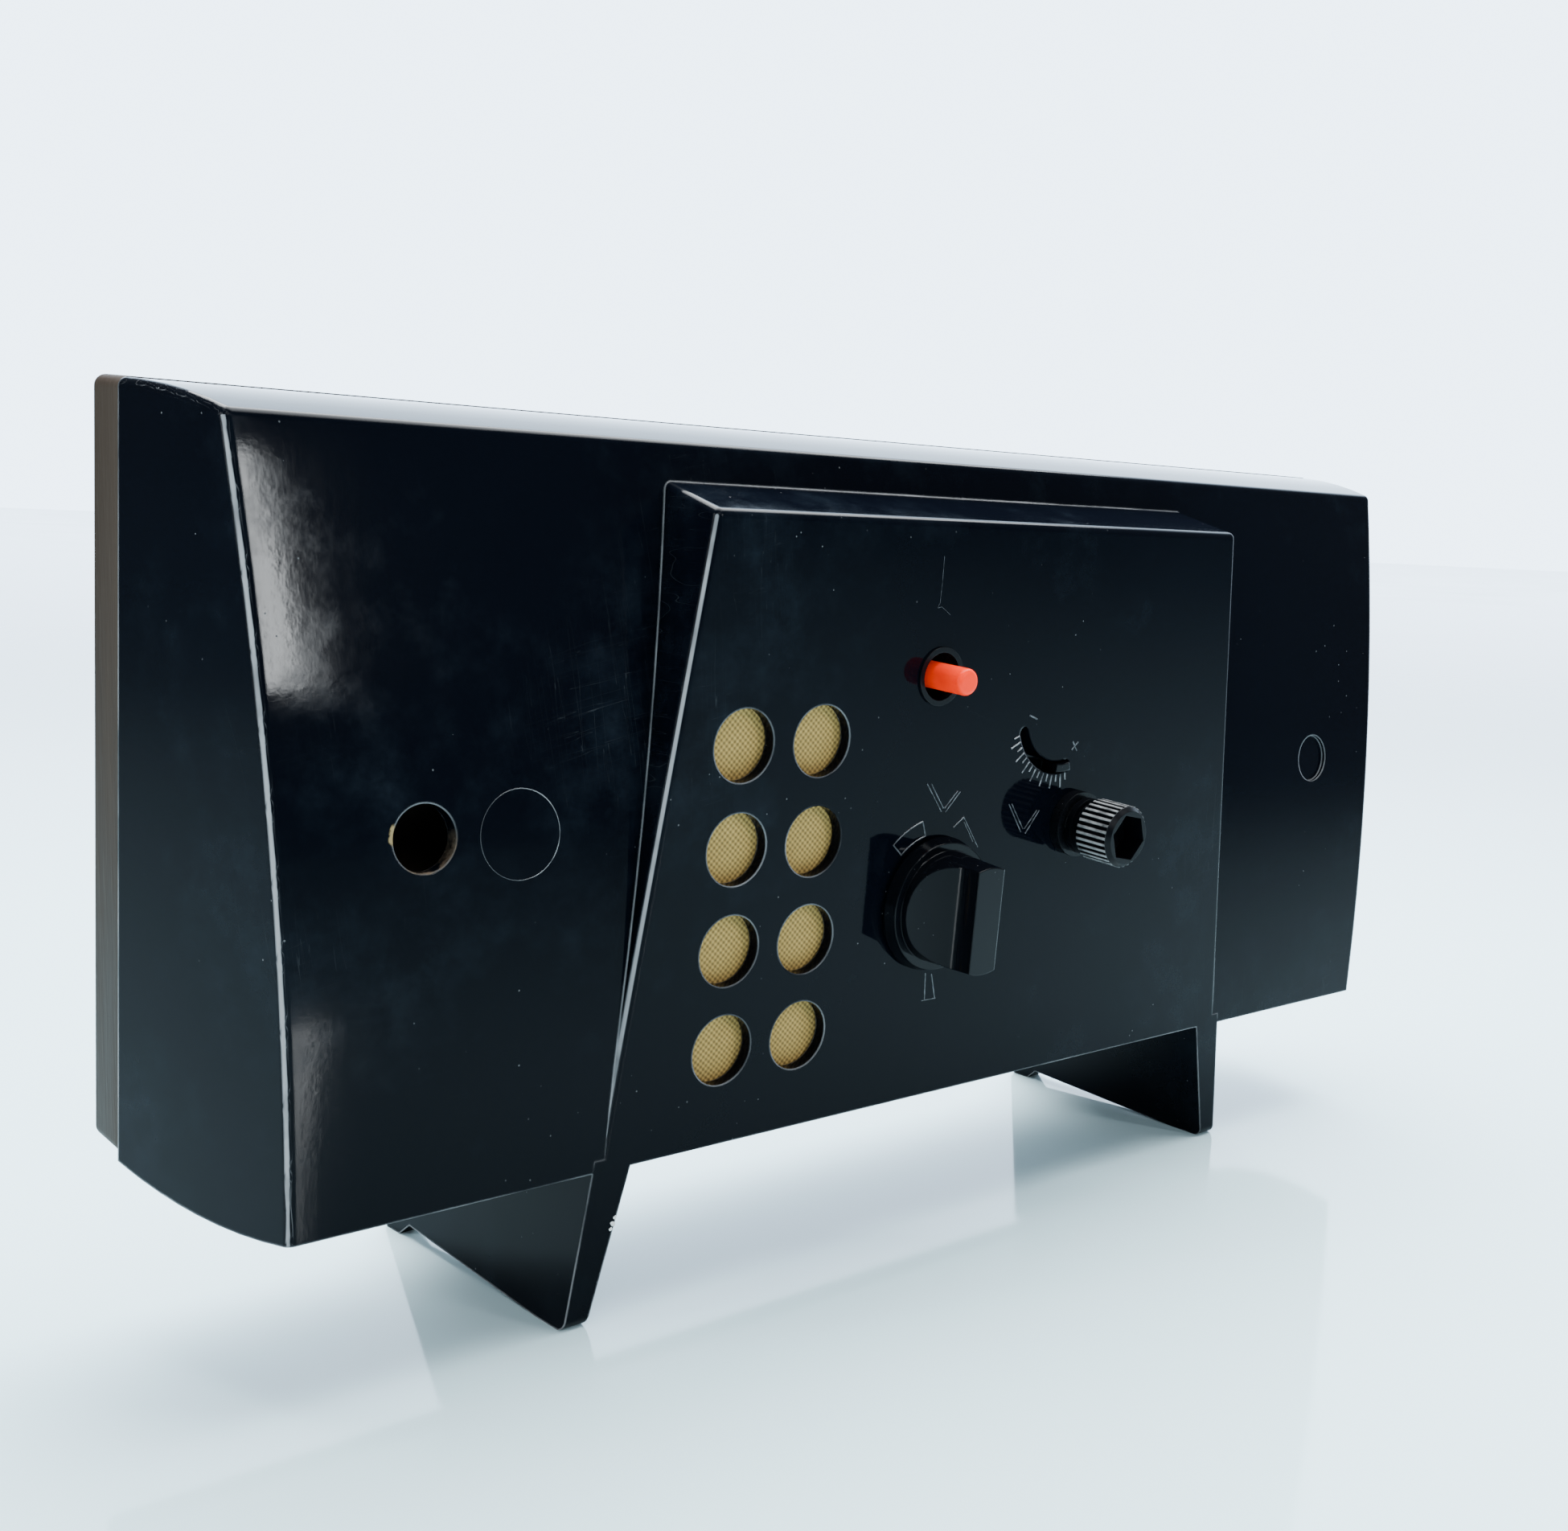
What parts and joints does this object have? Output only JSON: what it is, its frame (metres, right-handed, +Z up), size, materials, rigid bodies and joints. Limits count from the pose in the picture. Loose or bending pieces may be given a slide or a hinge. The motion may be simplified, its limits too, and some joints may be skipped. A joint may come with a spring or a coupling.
{
  "type": "tabletop radio",
  "caption": "Low, wide tabletop radio with a raised control panel, sound holes, push button, turning knobs, lever slot, splayed plate legs and a separate rear cover.",
  "frame": {"origin": "bottom centre of the whole object's box, on the surface the legs stand on", "axes": "+X along the cabinet to the right seen from the controls, +Y from the control panel to the rear cover, +Z up; the panel overhangs by 4 degrees as the legs stand"},
  "size_m": [0.298, 0.0818, 0.154],
  "materials": {
    "black_case": "moulded gloss black, scratched and dusty",
    "cover_plastic": "brown-grey, semi-matte, streaked",
    "screw_steel": "bright zinc",
    "speaker_cloth": "golden beige plain weave",
    "fibre_board": "pressed board",
    "pressed_steel": "pressed sheet",
    "paper_cone": "felted paper",
    "ferrite": "sintered",
    "black_trim": "moulded black",
    "spring_steel": "spring wire",
    "button_plastic": "orange-red, translucent at the tip",
    "switch_plastic": "phenolic",
    "knob_plastic": "moulded gloss black",
    "shaft_metal": "turned",
    "gear_plastic": "natural nylon",
    "vane_metal": "stamped",
    "board_resin": "paper laminate",
    "can_metal": "drawn",
    "capacitor_sleeve": "shrunk sleeve",
    "coil_copper": "enamelled wire",
    "cell_sleeve": "plain sleeve"
  },
  "bodies": {
    "cabinet": {"front_housing": "black_case", "rear_cover": "cover_plastic", "cover_screws": "screw_steel", "speaker_cloth": "speaker_cloth", "speaker_baffle": "fibre_board", "speaker_basket": "pressed_steel", "speaker_cone": "paper_cone", "speaker_magnet": "ferrite", "button_bush": "black_trim", "button_spring": "spring_steel", "button_switch": "switch_plastic", "switch_bracket": "pressed_steel", "tuning_bracket": "pressed_steel", "capacitor_frame": "pressed_steel", "capacitor_stator": "vane_metal", "volume_bush": "shaft_metal", "volume_nut": "black_trim", "potentiometer": "pressed_steel", "trim_pivot": "shaft_metal", "circuit_board": "board_resin", "board_screws": "screw_steel", "if_cans": "can_metal", "transistors": "can_metal", "electrolytics": "capacitor_sleeve", "output_transformer": "ferrite", "ferrite_rod": "ferrite", "antenna_coil": "coil_copper", "rod_holders": "switch_plastic", "battery_box": "switch_plastic", "batteries": "cell_sleeve", "battery_contacts": "can_metal"},
    "button": {"push_button": "button_plastic"},
    "tuning": {"tuning_knob": "knob_plastic", "tuning_shaft": "shaft_metal", "drive_gear": "gear_plastic"},
    "capacitor": {"capacitor_gear": "gear_plastic", "capacitor_shaft": "shaft_metal", "capacitor_rotor": "vane_metal"},
    "volume": {"volume_knob": "knob_plastic", "volume_shaft": "shaft_metal"},
    "trim": {"trim_lever": "knob_plastic"}
  },
  "joints": [
    {"name": "button_push", "type": "slide", "parent": "cabinet", "child": "button", "axis": [0, 0.9976, 0.0697], "range_m": [0, 0.003], "stiffness_N_per_m": 250, "springref_m": -0.002, "deforming": ["button_spring"]},
    {"name": "tuning_turn", "type": "hinge", "parent": "cabinet", "child": "tuning", "pos_m": [-0.0116, -0.02487, 0.06674], "axis": [0, 0.9976, 0.0697], "range_deg": [-135, 135]},
    {"name": "capacitor_turn", "type": "hinge", "parent": "cabinet", "child": "capacitor", "pos_m": [0.00126, -0.00384, 0.05285], "axis": [0, 0.9976, 0.0697], "range_deg": [-90.5, 90.5]},
    {"name": "volume_turn", "type": "hinge", "parent": "cabinet", "child": "volume", "pos_m": [0.0265, -0.02575, 0.07941], "axis": [0, 0.9976, 0.0697], "range_deg": [-150, 150]},
    {"name": "trim_swing", "type": "hinge", "parent": "cabinet", "child": "trim", "pos_m": [0.0199, -0.02733, 0.10205], "axis": [0, 0.9976, 0.0697], "range_deg": [0, 64]}
  ],
  "couplings": [
    {"joint": "capacitor_turn", "follows": "tuning_turn", "ratio": -0.66667}
  ]
}
